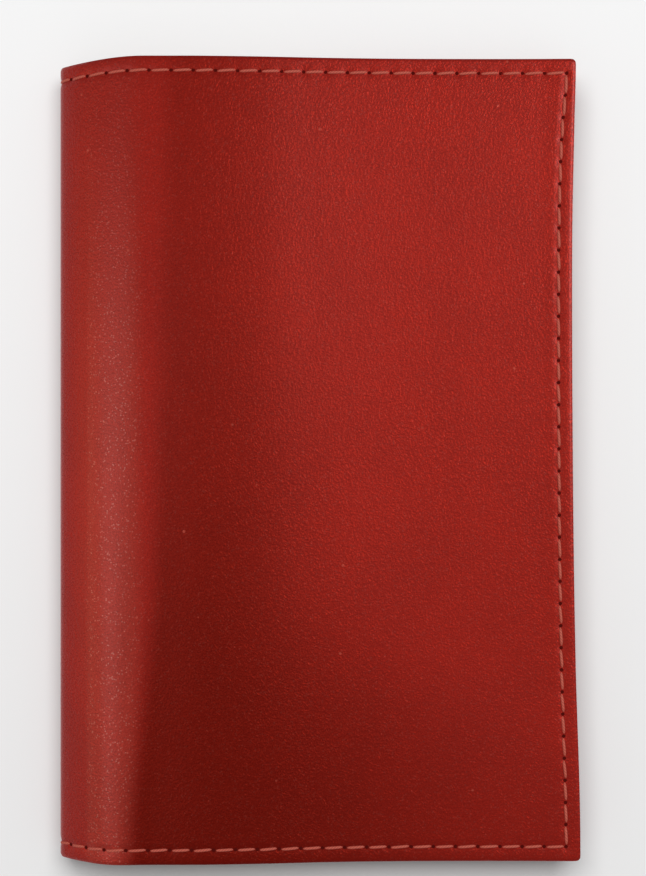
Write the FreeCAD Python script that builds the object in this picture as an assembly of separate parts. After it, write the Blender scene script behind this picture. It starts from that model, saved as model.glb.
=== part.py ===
import FreeCAD, Part

"""Leather notebook cover, closed and lying on its back, with a thin pocket notebook in its two sleeves.

Frame, in millimetres: +X from the spine to the fore-edge, +Y from tail to head, +Z up out of the front cover.
The origin is the centre of the base. The section is drawn in (u, z): u is the distance from the outermost
line of the spine, so x = u - WIDTH / 2. Depth is measured inwards from the outer face of the leather.
"""

import math
import os

from FreeCAD import Vector

# ---- the cover ----
HEIGHT = 150.0  # head to tail
WIDTH = 97.0  # spine to fore-edge, closed
FORE_EDGE_TOP = 11.0  # outer face of the front cover at the fore-edge
CORNER = 0.7  # plan radius of the four cut corners
LEATHER = 1.4
LINING = 0.4
SLEEVE = 1.0
SLEEVE_DEPTH = 52.0  # from the fore-edge to the sleeve's open edge
SLEEVE_MARGIN = 3.0  # sewn width of the sleeve at its three closed sides

# The outer face of the fold: corners of its section, and how each one is rounded.
LOW_CORNER_RADIUS = 5.0
TIGHT_RADIUS = 3.0
CROWN_RADIUS = 19.5
SHOULDER = (0.0, 6.9)
CROWN = (7.0, 14.3)
CROWN_HINGE_ANGLE = 124.9  # direction of the upper hinge line from the crown's centre

# ---- the notebook ----
BOOK_HEIGHT = 140.0
BOOK_SPINE = 3.9  # u of the card at the notebook's folded spine
BOOK_FORE_EDGE = 93.8
BOOK_SPINE_TOP = 8.0  # outer face of the front card at the spine
CARD = 0.35
CARD_CORNER = 2.9
CARD_KNEE_RADIUS = 60.0
CARD_KNEE_SETBACK = 4.0  # from the bend's middle to the sleeve's mouth, so that the card is straight inside the sleeve
SLIP = 0.02  # air between the card and what it slides along
PAGE_AIR = 0.05  # air between the page blocks and what surrounds them
PAGE_MIDDLE_FORE_EDGE = 5.57
PAGE_MIDDLE_SPINE = 4.93
FOLD_CENTRE = 6.8  # u where the folded sheets end and the loose leaves begin
FOLD_AIR = 0.3  # air between the folded sheets and the card, which swings past them
PAGE_RAMP = 3.0  # length over which the pages climb onto a sleeve
STAPLE_WIRE = 0.5
STAPLE_CROWN = 12.0
STAPLE_CLENCH = 4.5
STAPLE_SPACING = 80.0

# ---- the seam ----
SEAM_INSET = 2.7
THREAD = 0.56
GROOVE_DEPTH = 0.32
GROOVE_WIDTH = 0.95
FORE_EDGE_STITCHES = 35
STITCH_FILL = 0.87  # share of the pitch that a stitch covers

HINGE_GAP = 0.14  # air between the cut faces at the hinge lines
FAR = 400.0

SLEEVE_OPEN_EDGE = WIDTH - SLEEVE_DEPTH
LINING_FACE = LEATHER + LINING
SLEEVE_FACE = LINING_FACE + CARD + SLEEVE
HALF_HEIGHT = HEIGHT / 2.0
SEAM_Y = HALF_HEIGHT - SEAM_INSET
SEAM_U = WIDTH - SEAM_INSET
PITCH = 2.0 * SEAM_Y / FORE_EDGE_STITCHES


def at(u, z, y=0.0):
    """A point of the section, moved into the part's frame."""
    return Vector(u - WIDTH / 2.0, y, z)


def steer(a, b):
    """Direction from a to b, in radians."""
    return math.atan2(b[1] - a[1], b[0] - a[0])


def polar(centre, radius, angle):
    return (centre[0] + radius * math.cos(angle), centre[1] + radius * math.sin(angle))


def rounded(points, radii):
    """Runs and arcs through points, with each inner corner rounded. All rounded corners turn clockwise."""
    pieces = []
    start = points[0]
    for i in range(1, len(points) - 1):
        before, corner, after = points[i - 1], points[i], points[i + 1]
        radius = radii[i - 1]
        heading, leaving = steer(before, corner), steer(corner, after)
        turn = (heading - leaving) % (2.0 * math.pi)
        reach = radius * math.tan(turn / 2.0) if radius else 0.0
        arc_start = polar(corner, -reach, heading)
        arc_end = polar(corner, reach, leaving)
        pieces.append(("run", start, arc_start))
        if radius:
            centre = polar(arc_start, radius, heading - math.pi / 2.0)
            pieces.append(("arc", centre, radius, heading + math.pi / 2.0, leaving + math.pi / 2.0))
        start = arc_end
    pieces.append(("run", start, points[-1]))
    return pieces


def length_of(piece):
    if piece[0] == "run":
        return math.dist(piece[1], piece[2])
    return piece[2] * (piece[3] - piece[4])


def place_on(path, travelled, depth):
    """Point of a path, at a depth to its right, and the path's heading there."""
    for piece in path:
        length = length_of(piece)
        if travelled <= length or piece is path[-1]:
            break
        travelled -= length
    if piece[0] == "run":
        heading = steer(piece[1], piece[2])
        point = polar(piece[1], travelled, heading)
    else:
        angle = piece[3] - travelled / piece[2]
        point = polar(piece[1], piece[2], angle)
        heading = angle - math.pi / 2.0
    return polar(point, depth, heading - math.pi / 2.0), heading


def path_edges(path, depth=0.0):
    """FreeCAD edges of a path moved inwards by depth."""
    edges = []
    for piece in path:
        if piece[0] == "run":
            if length_of(piece) < 1e-6:
                continue
            aside = steer(piece[1], piece[2]) - math.pi / 2.0
            ends = [polar(p, depth, aside) for p in piece[1:]]
            edges.append(Part.LineSegment(at(*ends[0]), at(*ends[1])).toShape())
        else:
            centre, radius, first, last = piece[1], piece[2] - depth, piece[3], piece[4]
            three = [polar(centre, radius, a) for a in (first, (first + last) / 2.0, last)]
            edges.append(Part.Arc(*[at(*p) for p in three]).toShape())
    return edges


def line_between(edge_a, edge_b):
    return Part.LineSegment(edge_a.Vertexes[-1].Point, edge_b.Vertexes[0].Point).toShape()


def prism(edges, height):
    """Solid between -height/2 and +height/2 along Y over a closed loop of section edges."""
    face = Part.Face(Part.Wire(Part.__sortEdges__(edges)))
    face.translate(Vector(0, -height / 2.0, 0))
    return face.extrude(Vector(0, height, 0))


def layer(path, outer, inner, height):
    """Solid between two depths of a path."""
    outside, inside = path_edges(path, outer), path_edges(path, inner)
    ends = [
        Part.LineSegment(outside[0].Vertexes[0].Point, inside[0].Vertexes[0].Point).toShape(),
        Part.LineSegment(outside[-1].Vertexes[-1].Point, inside[-1].Vertexes[-1].Point).toShape(),
    ]
    return prism(outside + inside + ends, height)


def polygon(points, height):
    loop = points + points[:1]
    edges = [Part.LineSegment(at(*a), at(*b)).toShape() for a, b in zip(loop, loop[1:])]
    return prism(edges, height)


def block(u, z, y):
    """Box over ranges of u, z and y."""
    corner = at(u[0], z[0], y[0])
    return Part.makeBox(u[1] - u[0], y[1] - y[0], z[1] - z[0], corner)


def meeting(a, angle_a, b, angle_b):
    """Where two lines of the section cross."""
    along = (b[0] - a[0]) * math.sin(angle_b) - (b[1] - a[1]) * math.cos(angle_b)
    return polar(a, along / math.sin(angle_b - angle_a), angle_a)


# ---- the fold's section, its two hinge lines and the three zones that they bound ----
FRONT_SLOPE = (CROWN[1] - FORE_EDGE_TOP) / (WIDTH - CROWN[0])
FOLD = rounded(
    [(WIDTH, 0.0), (0.0, 0.0), SHOULDER, CROWN, (WIDTH, FORE_EDGE_TOP)],
    [LOW_CORNER_RADIUS, TIGHT_RADIUS, CROWN_RADIUS],
)
ARCS = [piece for piece in FOLD if piece[0] == "arc"]
FOLD_LENGTH = sum(length_of(piece) for piece in FOLD)
LOW_ANGLE = math.radians(225.0)
CROWN_ANGLE = math.radians(CROWN_HINGE_ANGLE)
BACK_HINGE = polar(ARCS[0][1], LOW_CORNER_RADIUS, LOW_ANGLE)
FRONT_HINGE = polar(ARCS[2][1], CROWN_RADIUS, CROWN_ANGLE)
APEX = meeting(BACK_HINGE, LOW_ANGLE, FRONT_HINGE, CROWN_ANGLE)


def front_face(u, depth):
    """Height of the flat of the front cover at a depth below its outer face."""
    outer = FORE_EDGE_TOP + (WIDTH - u) * FRONT_SLOPE
    return outer - depth * math.hypot(1.0, FRONT_SLOPE)


def zones():
    """The three parts of the section that move apart, as tall prisms."""
    low_far = polar(APEX, FAR, LOW_ANGLE)
    high_far = polar(APEX, FAR, CROWN_ANGLE)
    spine = polygon([APEX, low_far, (-FAR, SHOULDER[1]), high_far], FAR)
    spine.translate(Vector(-HINGE_GAP, 0, 0))
    back = polygon([APEX, (FAR, APEX[1]), (FAR, low_far[1]), low_far], FAR)
    front = polygon([APEX, high_far, (FAR, high_far[1]), (FAR, APEX[1])], FAR)
    return {"back": back, "spine": spine, "front": front}


ZONES = zones()


def round_corners(shape):
    """Trims a shape to the cover's outline in plan, with its corners rounded."""
    plan = Part.makeBox(2 * WIDTH, HEIGHT, FAR, at(-WIDTH, -FAR / 2.0, -HALF_HEIGHT))
    edges = [
        e for e in plan.Edges
        if abs(e.BoundBox.ZLength - FAR) < 1e-6 and abs(e.BoundBox.XMax - WIDTH / 2.0) < 1e-6
    ]
    return shape.common(plan.makeFillet(CORNER, edges))


def groove():
    """Shallow channels that the outer stitches lie in, along head, fore-edge and tail."""
    skin = layer(FOLD, -GROOVE_DEPTH, GROOVE_DEPTH, HEIGHT + 1.0)
    half = GROOVE_WIDTH / 2.0
    ends = [
        block((-FAR, SEAM_U), (-FAR, FAR), (side * SEAM_Y - half, side * SEAM_Y + half))
        for side in (-1, 1)
    ]
    side = block((SEAM_U - half, SEAM_U + half), (-FAR, FAR), (half - SEAM_Y, SEAM_Y - half))
    return [skin.common(strip) for strip in ends + [side]]


def cover_layers():
    """The hide and its lining, each cut into back, spine and front."""
    hide = round_corners(layer(FOLD, 0.0, LEATHER, HEIGHT))
    for channel in groove():
        hide = hide.cut(channel)
    lining = round_corners(layer(FOLD, LEATHER, LINING_FACE, HEIGHT))
    nodes = {}
    for zone, space in ZONES.items():
        name = "spine_leather" if zone == "spine" else zone + "_cover_leather"
        nodes[name] = hide.common(space)
        nodes[zone + "_lining"] = lining.common(space)
    return nodes


def sleeves():
    """Inner pockets, sewn at head, fore-edge and tail, and open towards the spine."""
    panel = round_corners(layer(FOLD, LINING_FACE, SLEEVE_FACE, HEIGHT))
    pocket = layer(FOLD, LINING_FACE - SLIP, LINING_FACE + CARD + 2 * SLIP, HEIGHT - 2 * SLEEVE_MARGIN)
    pocket = pocket.common(block((0, WIDTH - SLEEVE_MARGIN), (-FAR, FAR), (-FAR, FAR)))
    reach = block((SLEEVE_OPEN_EDGE, WIDTH), (-FAR, FAR), (-FAR, FAR))
    both = panel.cut(pocket).common(reach)
    return {zone + "_sleeve": both.common(ZONES[zone]) for zone in ("back", "front")}


def stitch(point, heading, y_direction, y):
    """One stitch lying along the fold's section, or along Y."""
    length = PITCH * STITCH_FILL
    direction = Vector(0, 1, 0) if y_direction else Vector(math.cos(heading), 0, math.sin(heading))
    middle = at(point[0], point[1], y)
    return Part.makeCylinder(THREAD / 2.0, length, middle - direction * (length / 2.0), direction)


def zone_of(point):
    """The zone that holds a point of the section."""
    for zone, space in ZONES.items():
        if space.isInside(at(*point), 1e-6, True):
            return zone
    return None


def seam(outer):
    """Stitches of one side of the seam, grouped by zone. The inner ones follow the sleeves and the lining."""
    groups = {"back": [], "spine": [], "front": []}
    count = round((FOLD_LENGTH - 2.0 * SEAM_INSET) / PITCH)
    step = (FOLD_LENGTH - 2.0 * SEAM_INSET) / count
    half = STITCH_FILL * PITCH / 2.0

    def depth_at(travelled):
        if outer:
            return THREAD / 2.0 + 2 * SLIP
        on_sleeve = min(travelled, FOLD_LENGTH - travelled) < SLEEVE_DEPTH
        return (SLEEVE_FACE if on_sleeve else LINING_FACE) + THREAD / 4.0

    for i in range(count):
        travelled = SEAM_INSET + (i + 0.5) * step
        point, heading = place_on(FOLD, travelled, depth_at(travelled))
        tips = [place_on(FOLD, travelled + way * half, depth_at(travelled))[0] for way in (-1, 1)]
        zone = zone_of(point)
        if zone is None or any(zone_of(tip) != zone for tip in tips):
            continue
        for side in (-1, 1):
            groups[zone].append(stitch(point, heading, False, side * SEAM_Y))
    for zone, travelled in (("back", SEAM_INSET), ("front", FOLD_LENGTH - SEAM_INSET)):
        point, heading = place_on(FOLD, travelled, depth_at(travelled))
        for i in range(FORE_EDGE_STITCHES):
            y = -SEAM_Y + (i + 0.5) * PITCH
            groups[zone].append(stitch(point, heading, True, y))
    return {zone: Part.makeCompound(stitches) for zone, stitches in groups.items()}


def threads():
    nodes = {}
    for place, outer in (("outer", True), ("inner", False)):
        for zone, stitches in seam(outer).items():
            nodes["{}_thread_{}".format(zone, place)] = stitches
    return nodes


def cards():
    """The notebook's card cover, cut at the hinge lines."""
    knee = SLEEVE_OPEN_EDGE - CARD_KNEE_SETBACK
    path = rounded(
        [
            (BOOK_FORE_EDGE, LINING_FACE + SLIP),
            (BOOK_SPINE, LINING_FACE + SLIP),
            (BOOK_SPINE, BOOK_SPINE_TOP),
            (knee, front_face(knee, LINING_FACE + SLIP)),
            (BOOK_FORE_EDGE, front_face(BOOK_FORE_EDGE, LINING_FACE + SLIP)),
        ],
        [CARD_CORNER, CARD_CORNER, CARD_KNEE_RADIUS],
    )
    card = layer(path, 0.0, CARD, BOOK_HEIGHT)
    return {"notebook_{}_card".format(zone): card.common(space) for zone, space in ZONES.items()}


def page_middle(u):
    """Height where the back and the front leaves meet."""
    share = (u - FOLD_CENTRE) / (BOOK_FORE_EDGE - FOLD_CENTRE)
    return PAGE_MIDDLE_SPINE + (PAGE_MIDDLE_FORE_EDGE - PAGE_MIDDLE_SPINE) * share


def staple(y):
    """Wire staple through the fold: crown outside the card, two legs, and their ends clenched inside."""
    outside = BOOK_SPINE - STAPLE_WIRE / 2.0
    inside = FOLD_CENTRE + STAPLE_WIRE / 2.0
    half = STAPLE_CROWN / 2.0
    z = PAGE_MIDDLE_SPINE
    tips = (half - STAPLE_CLENCH, -half + STAPLE_CLENCH)
    route = [
        at(inside, z, y + tips[0]), at(inside, z, y + half), at(outside, z, y + half),
        at(outside, z, y - half), at(inside, z, y - half), at(inside, z, y + tips[1]),
    ]
    radius = STAPLE_WIRE / 2.0
    wire = Part.makeSphere(radius, route[0])
    for a, b in zip(route, route[1:]):
        wire = wire.fuse(Part.makeCylinder(radius, (b - a).Length, a, b - a))
        wire = wire.fuse(Part.makeSphere(radius, b))
    return wire.removeSplitter()


def staple_space(y):
    """Room for the clenched ends between the leaves."""
    room = STAPLE_WIRE
    reach = (BOOK_SPINE - STAPLE_WIRE - PAGE_AIR, FOLD_CENTRE + 2 * room)
    spread = STAPLE_CROWN / 2.0 + room
    return block(reach, (PAGE_MIDDLE_SPINE - room, PAGE_MIDDLE_SPINE + room), (y - spread, y + spread))


def pages():
    """The leaves as a back and a front block, with the folded sheets between them at the spine."""
    start = FOLD_CENTRE + PAGE_AIR
    end = BOOK_FORE_EDGE - 4 * PAGE_AIR
    foot, top_of_ramp = SLEEVE_OPEN_EDGE - PAGE_RAMP, SLEEVE_OPEN_EDGE - PAGE_AIR
    low = LINING_FACE + SLIP + CARD + PAGE_AIR
    rise = (front_face(SLEEVE_OPEN_EDGE, LINING_FACE) - BOOK_SPINE_TOP) / (SLEEVE_OPEN_EDGE - BOOK_SPINE)
    card_top = BOOK_SPINE_TOP - CARD - 2 * PAGE_AIR
    back = [
        (start, page_middle(start) - PAGE_AIR), (start, low), (foot, low),
        (top_of_ramp, SLEEVE_FACE + PAGE_AIR), (end, SLEEVE_FACE + PAGE_AIR),
        (end, page_middle(end) - PAGE_AIR),
    ]
    front = [
        (start, page_middle(start) + PAGE_AIR), (end, page_middle(end) + PAGE_AIR),
        (end, front_face(end, SLEEVE_FACE + PAGE_AIR)),
        (top_of_ramp, front_face(SLEEVE_OPEN_EDGE, SLEEVE_FACE + PAGE_AIR)),
        (foot, card_top + (foot - CARD_CORNER - BOOK_SPINE) * rise),
        (BOOK_SPINE + CARD_CORNER, card_top),
    ]
    radius = FOLD_CENTRE - BOOK_SPINE - CARD - FOLD_AIR
    fold = Part.makeCylinder(radius, BOOK_HEIGHT, at(FOLD_CENTRE, PAGE_MIDDLE_SPINE, -BOOK_HEIGHT / 2.0),
                             Vector(0, 1, 0))
    fold = fold.common(block((0, FOLD_CENTRE), (-FAR, FAR), (-FAR, FAR)))
    nodes = {
        "back_pages": polygon(back, BOOK_HEIGHT),
        "front_pages": polygon(front, BOOK_HEIGHT),
        "notebook_fold": fold,
    }
    for side in (-1, 1):
        y = side * STAPLE_SPACING / 2.0
        room = staple_space(y)
        for name in ("back_pages", "front_pages"):
            nodes[name] = nodes[name].cut(room)
        nodes["staple_head" if side > 0 else "staple_tail"] = staple(y)
    for name in ("staple_head", "staple_tail"):
        nodes["notebook_fold"] = nodes["notebook_fold"].cut(nodes[name])
    return nodes


def build():
    nodes = cover_layers()
    nodes.update(sleeves())
    nodes.update(threads())
    nodes.update(cards())
    nodes.update(pages())
    for wire in ("staple_head", "staple_tail"):
        nodes["notebook_spine_card"] = nodes["notebook_spine_card"].cut(nodes[wire])
    return nodes


def main():
    os.makedirs("parts", exist_ok=True)
    nodes = build()
    for name, shape in sorted(nodes.items()):
        box = shape.BoundBox
        print("{:24s} solids {:3d}  volume {:9.1f}  x {:7.2f} {:7.2f}  z {:6.2f} {:6.2f}  valid {}".format(
            name, len(shape.Solids), shape.Volume, box.XMin, box.XMax, box.ZMin, box.ZMax, shape.isValid()))
        shape.exportStep("parts/{}.step".format(name))
    for name, point in (("back hinge", BACK_HINGE), ("front hinge", FRONT_HINGE), ("apex", APEX)):
        print("{}: x {:.3f} z {:.3f}".format(name, point[0] - WIDTH / 2.0, point[1]))


main()
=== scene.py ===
"""Soft leather notebook cover, stitched round its edges, closed round a thin pocket notebook."""

import math
import random

import bmesh
import bpy
from bpy.props import FloatProperty, FloatVectorProperty, IntProperty, PointerProperty
from mathutils import Matrix, Vector, noise


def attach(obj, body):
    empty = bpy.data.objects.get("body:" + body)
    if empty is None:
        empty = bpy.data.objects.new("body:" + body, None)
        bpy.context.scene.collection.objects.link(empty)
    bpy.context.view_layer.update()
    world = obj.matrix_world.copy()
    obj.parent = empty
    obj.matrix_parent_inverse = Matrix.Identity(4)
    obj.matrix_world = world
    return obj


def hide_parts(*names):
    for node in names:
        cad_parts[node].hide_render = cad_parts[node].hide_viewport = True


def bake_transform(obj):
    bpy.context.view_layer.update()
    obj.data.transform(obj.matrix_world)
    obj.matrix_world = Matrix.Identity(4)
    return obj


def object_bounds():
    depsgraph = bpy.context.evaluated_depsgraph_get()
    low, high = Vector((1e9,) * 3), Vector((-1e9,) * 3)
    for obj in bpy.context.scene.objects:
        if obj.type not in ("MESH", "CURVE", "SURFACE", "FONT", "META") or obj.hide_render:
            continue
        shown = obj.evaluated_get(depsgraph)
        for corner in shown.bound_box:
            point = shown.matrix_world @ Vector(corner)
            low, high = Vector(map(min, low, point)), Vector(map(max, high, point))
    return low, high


bl_info = {
    "name": "Leather Notebook Cover",
    "version": (1, 0, 0),
    "blender": (4, 5, 0),
    "location": "3D View > Sidebar > Notebook Cover",
    "description": "Builds a stitched leather notebook cover, its notebook and a plain studio round it",
    "category": "Add Mesh",
}

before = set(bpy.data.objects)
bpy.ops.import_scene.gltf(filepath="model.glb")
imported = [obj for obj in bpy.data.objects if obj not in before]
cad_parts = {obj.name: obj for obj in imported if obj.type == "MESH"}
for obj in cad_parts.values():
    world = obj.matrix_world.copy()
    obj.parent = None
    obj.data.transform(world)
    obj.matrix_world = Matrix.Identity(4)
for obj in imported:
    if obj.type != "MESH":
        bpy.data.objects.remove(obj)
CAD_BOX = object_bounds()

MM = 0.001
CAMERA_OVER = (0.0013, 0.0041)
LAMP_DISTANCE = 0.6

# The outer face of the fold, in millimetres: u from the outermost line of the spine, z up from the table.
WIDTH = (CAD_BOX[1].x - CAD_BOX[0].x) / MM
HEIGHT = (CAD_BOX[1].y - CAD_BOX[0].y) / MM
SPINE_X = CAD_BOX[0].x / MM
HALF = HEIGHT / 2
FORE_EDGE_TOP = 11.0
LOW_CORNER_RADIUS = 5.0
TIGHT_RADIUS = 3.0
CROWN_RADIUS = 19.5
SHOULDER = (0.0, 6.9)
CROWN = (7.0, 14.3)
CORNER = 0.9  # radius of the sheet's corners
SPINE_MIDDLE = 6.0  # height of the spine's outermost line, where the back and front halves meet

LEATHER = 1.4
LINING = 0.4
SLEEVE = 1.0
CARD = 0.35
LINING_FACE = LEATHER + LINING
SLEEVE_FACE = LINING_FACE + CARD + SLEEVE
SLEEVE_DEPTH = 52.0
SLEEVE_MOUTH = WIDTH - SLEEVE_DEPTH  # u of the sleeves' open edges
SLEEVE_MARGIN = 3.0  # sewn width of a sleeve at its three closed sides

BOOK_HALF = 70.0
BOOK_SPINE = 3.9
BOOK_FORE_EDGE = 93.8
BOOK_SPINE_TOP = 8.0
FOLD_CENTRE = 6.8
CARD_CORNER = 2.9
CARD_KNEE_RADIUS = 60.0
PAGE_MIDDLE = 4.93
PAGE_MIDDLE_FORE_EDGE = 5.45
LEAVES = 18  # in each half of the notebook
RULE_SPACING = 7.0
AIR = 0.06  # between the leaves and what they lie against

SKIN = (0.0, 1.0)  # the two faces of a slab whose place() works out its own depths

# How the worn cover departs from its section: in millimetres, against y or u.
FORE_EDGE_LINE = [(-75, 0.95), (-62, 0.8), (-38, 0.05), (-5, -0.45), (40, -0.6), (62, -0.2), (75, 0.1)]
FRONT_DISH = [(10, 0.05), (18, -0.08), (27, -0.38), (38, -0.05), (49, 0.68),
              (58, 1.02), (68, 1.06), (80, 0.75), (90, 0.3), (97, -0.1)]
HEAD_PULL = 0.95  # how far the bend draws the head edge in at the spine
CROWN_TIGHTENING = 0.7  # how much squarer the crown is at the tail than at the head

# The seam, in millimetres.
SEAM_DRIFT = [(-75, 0.0), (45, 0.2), (60, 0.35), (73, 1.0)]  # how far the fore-edge seam strays outwards
STITCH_FILL = 0.86  # share of the pitch that a stitch covers
HOLE_RADIUS = 0.34
VALLEY = 0.05  # depth that the thread draws the leather in to
VALLEY_REACH = 0.8
PUCKER = 0.17  # further depth round a needle hole
PUCKER_REACH = 0.6
SWELL = 0.02  # height of the leather that the thread squeezes up beside it
SWELL_OFF = 1.2  # from the thread to the top of that swell
EDGE_FALL = 0.17  # how far the burnished edge is rounded down
EDGE_BAND = 0.6  # width of that rounding
FRONT_GROOVE = 0.02  # depth of the outer thread's middle below the front's face
BACK_GROOVE = 0.30  # the same under the back, off the table
INNER_GROOVE = 0.12  # depth of the inner thread's middle beyond the lining or the sleeve
FINE = 0.38  # mesh spacing beside the seam


# ---------------------------------------------------------------- settings

class CoverSizes(bpy.types.PropertyGroup):
    """Sizes of the leatherwork."""

    seam_inset: FloatProperty(
        name="Seam Inset", description="From the cut edge to the seam", default=2.7 * MM, unit="LENGTH")
    thread: FloatProperty(
        name="Thread", description="Thickness of the waxed thread", default=0.52 * MM, unit="LENGTH")
    stitches: IntProperty(
        name="Stitches", description="Stitches along the fore-edge", default=35)
    slant: FloatProperty(
        name="Slant", description="Turn of each stitch off the seam's line",
        default=math.radians(4), subtype="ANGLE")


def colour_setting(name, description, default):
    return FloatVectorProperty(
        name=name, description=description, default=default, size=3, min=0, max=1, subtype="COLOR")


class CoverFinish(bpy.types.PropertyGroup):
    """Colours of the leather, thread and notebook."""

    hide: colour_setting("Hide", "Colour of the pigmented leather", (0.287, 0.0068, 0.0020))
    hide_dark: colour_setting("Hide in the Grain", "Colour between the pebbles", (0.235, 0.0052, 0.0016))
    # glint: colour of the painted glints and of the painted highlight on the spine
    glint: colour_setting("Painted Glint", "Colour of the painted glints and highlight", (0.72, 0.30, 0.21))
    cut_edge: colour_setting("Cut Edge", "Colour of the burnished edge", (0.25, 0.02, 0.015))
    suede: colour_setting("Lining", "Colour of the suede lining", (0.20, 0.035, 0.022))
    thread: colour_setting("Thread", "Colour of the thread", (0.50, 0.095, 0.062))
    card: colour_setting("Card", "Colour of the notebook's card cover", (0.40, 0.27, 0.15))
    paper: colour_setting("Paper", "Colour of the leaves", (0.82, 0.77, 0.66))


class StudioSettings(bpy.types.PropertyGroup):
    """Camera and lights."""

    distance: FloatProperty(
        name="Camera Distance", description="From the camera to the table", default=0.3446, unit="LENGTH")
    lens: FloatProperty(name="Lens", description="Focal length in millimetres", default=73.35)
    key: FloatProperty(name="Key", description="Power of the overhead softbox", default=1.95, unit="POWER")
    crown_light: FloatProperty(
        name="Crown Light", description="Power of the softbox over the spine", default=0.80, unit="POWER")
    spine_light: FloatProperty(
        name="Spine Light", description="Power of the softbox beside the spine", default=0.46, unit="POWER")
    wash: FloatProperty(
        name="Floor Wash", description="Power of the lamp on the table only", default=3.40, unit="POWER")
    air: FloatProperty(name="Air", description="Strength of the light from all round", default=0.36)


# ---------------------------------------------------------------- the fold

def in_frame(u, y, z):
    """Point in metres in the shared frame."""
    return Vector((SPINE_X + u, y, z)) * MM


def polar(centre, radius, angle):
    return (centre[0] + radius * math.cos(angle), centre[1] + radius * math.sin(angle))


def steer(a, b):
    """Heading from a to b."""
    return math.atan2(b[1] - a[1], b[0] - a[0])


def rounded(points, radii):
    """Runs and arcs through points, each inner corner rounded. All the corners turn clockwise."""
    pieces = []
    start = points[0]
    for before, corner, after, radius in zip(points, points[1:], points[2:], radii):
        heading, leaving = steer(before, corner), steer(corner, after)
        reach = radius * math.tan(((heading - leaving) % (2 * math.pi)) / 2)
        arc_start, arc_end = polar(corner, -reach, heading), polar(corner, reach, leaving)
        centre = polar(arc_start, radius, heading - math.pi / 2)
        pieces.append(("run", start, arc_start))
        pieces.append(("arc", centre, radius, heading + math.pi / 2, leaving + math.pi / 2))
        start = arc_end
    pieces.append(("run", start, points[-1]))
    return pieces


def length_of(piece):
    """Length of one run or arc of a rounded path."""
    if piece[0] == "run":
        return math.dist(piece[1], piece[2])
    return piece[2] * (piece[3] - piece[4])


def walk(path, left):
    """Point (u, z) and heading at a length along a rounded path."""
    for piece in path:
        if left <= length_of(piece) or piece is path[-1]:
            break
        left -= length_of(piece)
    if piece[0] == "run":
        heading = steer(piece[1], piece[2])
        return polar(piece[1], left, heading), heading
    angle = piece[3] - left / piece[2]
    return polar(piece[1], piece[2], angle), angle - math.pi / 2


def smooth(t):
    """Smooth step from 0 to 1, level beyond both."""
    t = min(max(t, 0.0), 1.0)
    return t * t * (3 - 2 * t)


def through(keys, x):
    """Value at x of a smooth curve through (x, value) keys, level beyond its ends."""
    if x <= keys[0][0]:
        return keys[0][1]
    if x >= keys[-1][0]:
        return keys[-1][1]
    i = next(k for k in range(1, len(keys)) if x <= keys[k][0])
    (x0, a), (x1, b) = keys[i - 1], keys[i]
    span, share = x1 - x0, (x - x0) / (x1 - x0)
    leaving = slope_at(keys, i - 1) * span
    arriving = slope_at(keys, i) * span
    cube, square = share ** 3, share ** 2
    return ((2 * cube - 3 * square + 1) * a + (cube - 2 * square + share) * leaving
            + (3 * square - 2 * cube) * b + (cube - square) * arriving)


def slope_at(keys, i):
    """Slope of the curve at one of its keys."""
    if i in (0, len(keys) - 1):
        return 0.0
    return (keys[i + 1][1] - keys[i - 1][1]) / (keys[i + 1][0] - keys[i - 1][0])


class Fold:
    """The developed leather. s runs from the spine's outermost line, and is negative under the back."""

    def __init__(self):
        self.path = rounded(
            [(WIDTH, 0.0), (0.0, 0.0), SHOULDER, CROWN, (WIDTH, FORE_EDGE_TOP)],
            [LOW_CORNER_RADIUS, TIGHT_RADIUS, CROWN_RADIUS])
        self.back = length_of(self.path[0]) + length_of(self.path[1]) + SPINE_MIDDLE - LOW_CORNER_RADIUS
        self.front = sum(length_of(p) for p in self.path) - self.back

    def end(self, way):
        """Developed length from the spine to the fore-edge: way is 1 for the front, -1 for the back."""
        return self.front if way > 0 else self.back

    def round_corner(self, s, y):
        """Draws the square corner of the sheet in to a small radius."""
        end = self.end(s)
        across, along = CORNER - (end - abs(s)), CORNER - (HALF - abs(y))
        if across <= 0 or along <= 0:
            return s, y
        share = max(across, along) / math.hypot(across, along)
        return (math.copysign(end - CORNER + across * share, s),
                math.copysign(HALF - CORNER + along * share, y))

    def place(self, s, y, depth):
        """Point of the leather in metres: developed length s, height y and depth below the outer face."""
        s, y = self.round_corner(s, y)
        (u, z), heading = walk(self.path, s + self.back)
        flare = smooth((u - 45) / 50)
        u += flare * through(FORE_EDGE_LINE, y)
        y -= HEAD_PULL * (1 - smooth(u / 17)) * max(0.0, y / HALF) ** 2
        depth += sink(s, u, y)
        u, z = polar((u, z), depth, heading - math.pi / 2)
        return in_frame(u, y, z)


def sink(s, u, y):
    """Depth that the front cover sinks by, towards the notebook."""
    if s <= 0:
        return 0.0
    waves = noise.noise(Vector((u * 0.022, y * 0.016, 3.7))) * 0.16
    tight = CROWN_TIGHTENING * math.exp(-((u - 10.0) / 4.0) ** 2) * (1 - smooth((y + HALF) / 130))
    return through(FRONT_DISH, u) + waves * smooth(s / 15) - tight


FOLD = Fold()


# ---------------------------------------------------------------- the seam's layout

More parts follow.
